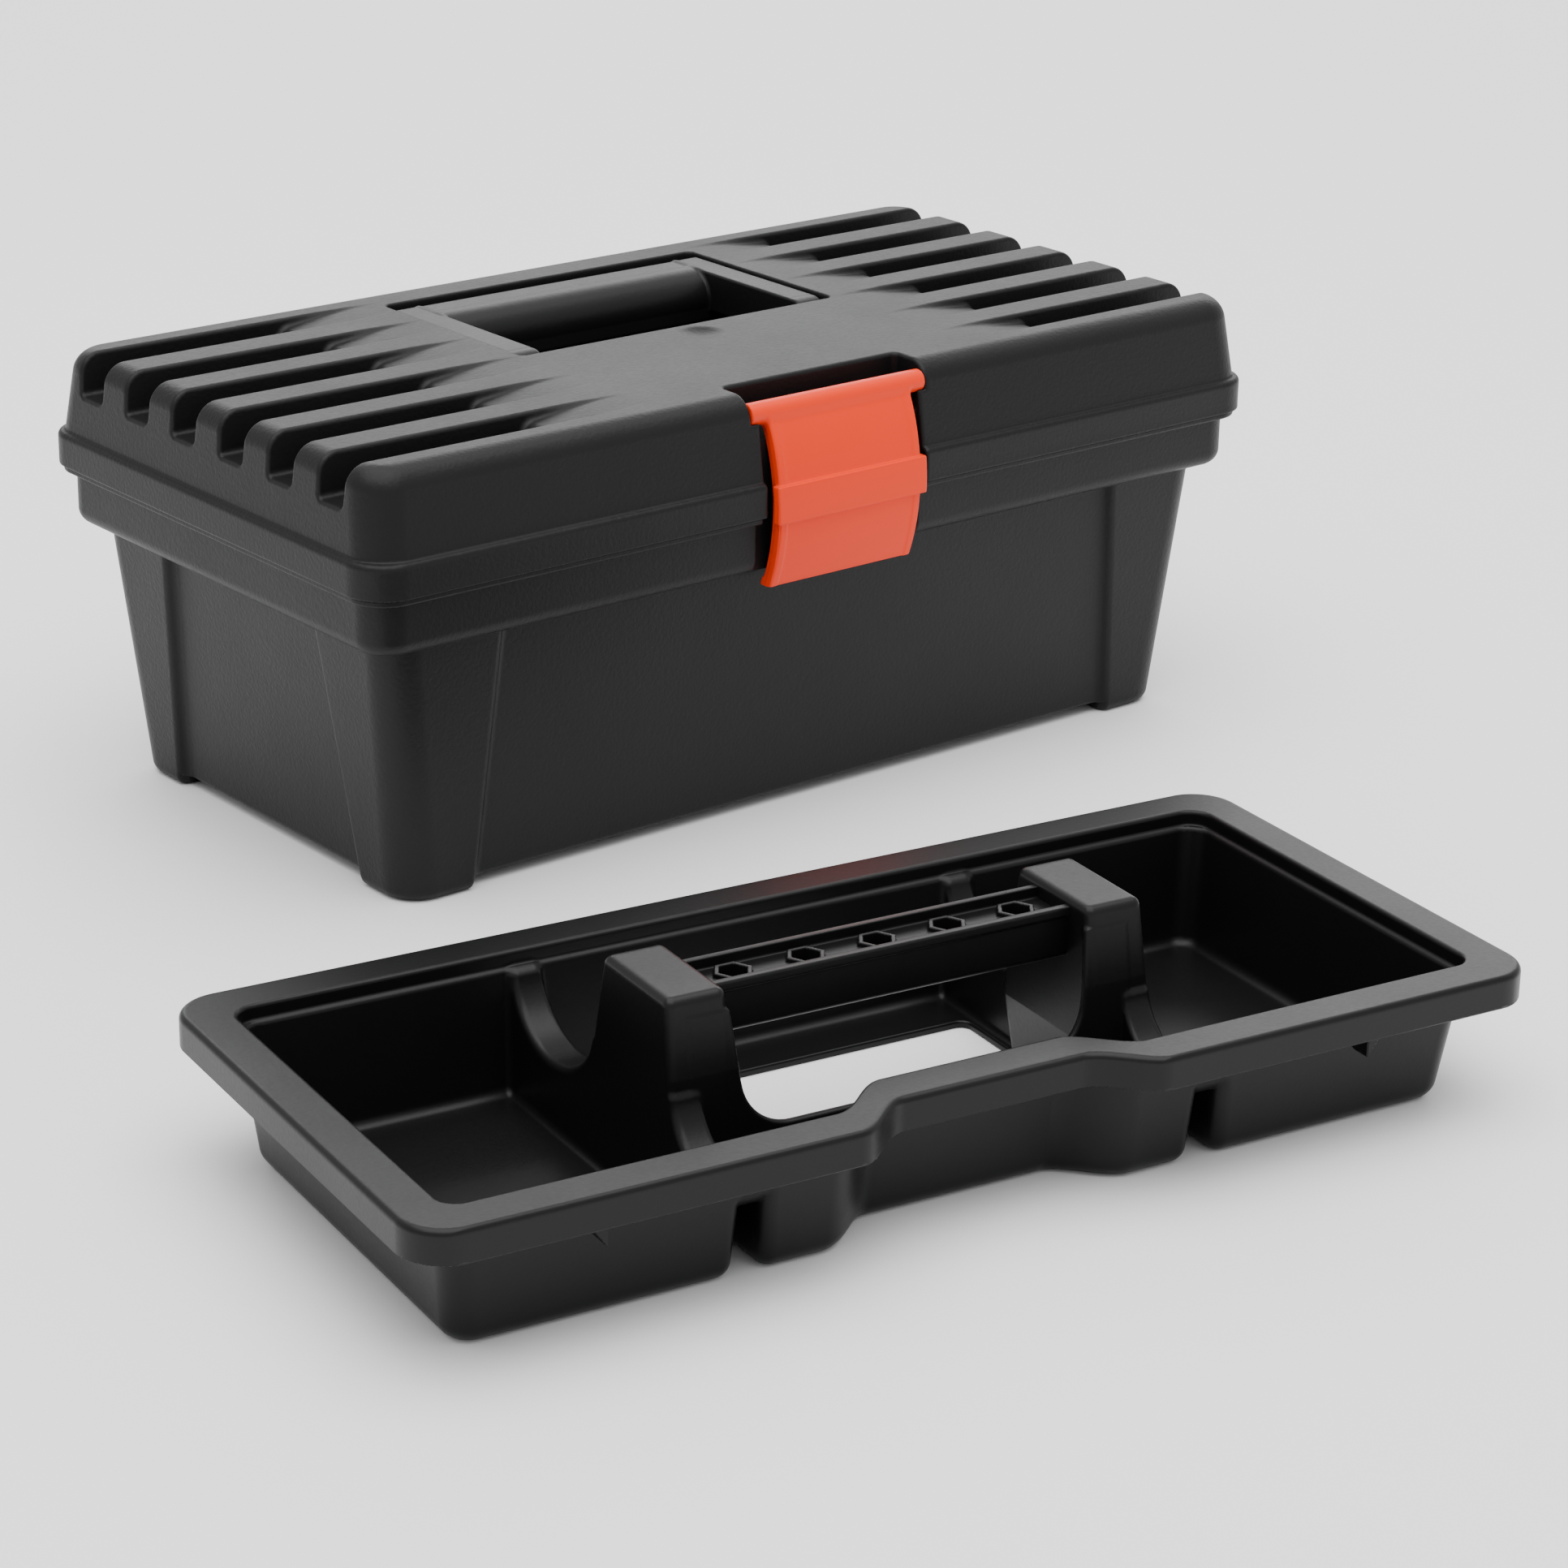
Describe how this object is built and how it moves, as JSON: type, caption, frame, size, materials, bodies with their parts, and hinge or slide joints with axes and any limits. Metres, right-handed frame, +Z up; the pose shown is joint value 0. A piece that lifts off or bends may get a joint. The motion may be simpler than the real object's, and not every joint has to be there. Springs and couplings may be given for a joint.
{
  "type": "toolbox with tray",
  "caption": "Small moulded plastic toolbox with a ribbed hinged lid, folding carrying handle, front latch and a lift-out tray with a bit rail.",
  "frame": {"origin": "middle of the tub's underside, on the floor", "axes": "+X along the box to the right seen from the front, +Y to the back where the lid's hinge is, +Z up"},
  "size_m": [0.4472, 0.4274, 0.1272],
  "materials": {
    "box_plastic": "satin, finely textured moulding",
    "handle_plastic": "satin moulding",
    "tray_plastic": "smooth satin moulding",
    "latch_plastic": "smooth semi-gloss moulding",
    "pin_steel": "plain steel wire"
  },
  "bodies": {
    "tub": {"tub": "box_plastic", "hinge_pin_left": "pin_steel", "hinge_pin_right": "pin_steel"},
    "lid": {"lid": "box_plastic"},
    "latch": {"latch": "latch_plastic"},
    "handle": {"handle": "handle_plastic"},
    "tray": {"tray_rim": "tray_plastic", "tray_left_well": "tray_plastic", "tray_right_well": "tray_plastic", "tray_centre": "tray_plastic", "tray_posts": "tray_plastic", "tray_bit_rail": "tray_plastic"}
  },
  "joints": [
    {"name": "lid_hinge", "type": "hinge", "parent": "tub", "child": "lid", "pos_m": [0, 0.088, 0.098], "axis": [-1, 0, 0], "range_deg": [0, 105]},
    {"name": "latch_hinge", "type": "hinge", "parent": "lid", "child": "latch", "pos_m": [0, -0.0755, 0.1215], "axis": [-1, 0, 0], "range_deg": [0, 110]},
    {"name": "handle_hinge", "type": "hinge", "parent": "lid", "child": "handle", "pos_m": [0, 0.0005, 0.1204], "axis": [1, 0, 0], "range_deg": [0, 90]},
    {"name": "tray_lift", "type": "slide", "parent": "tub", "child": "tray", "axis": [0, 0, 1], "range_m": [0, 0.15]}
  ]
}
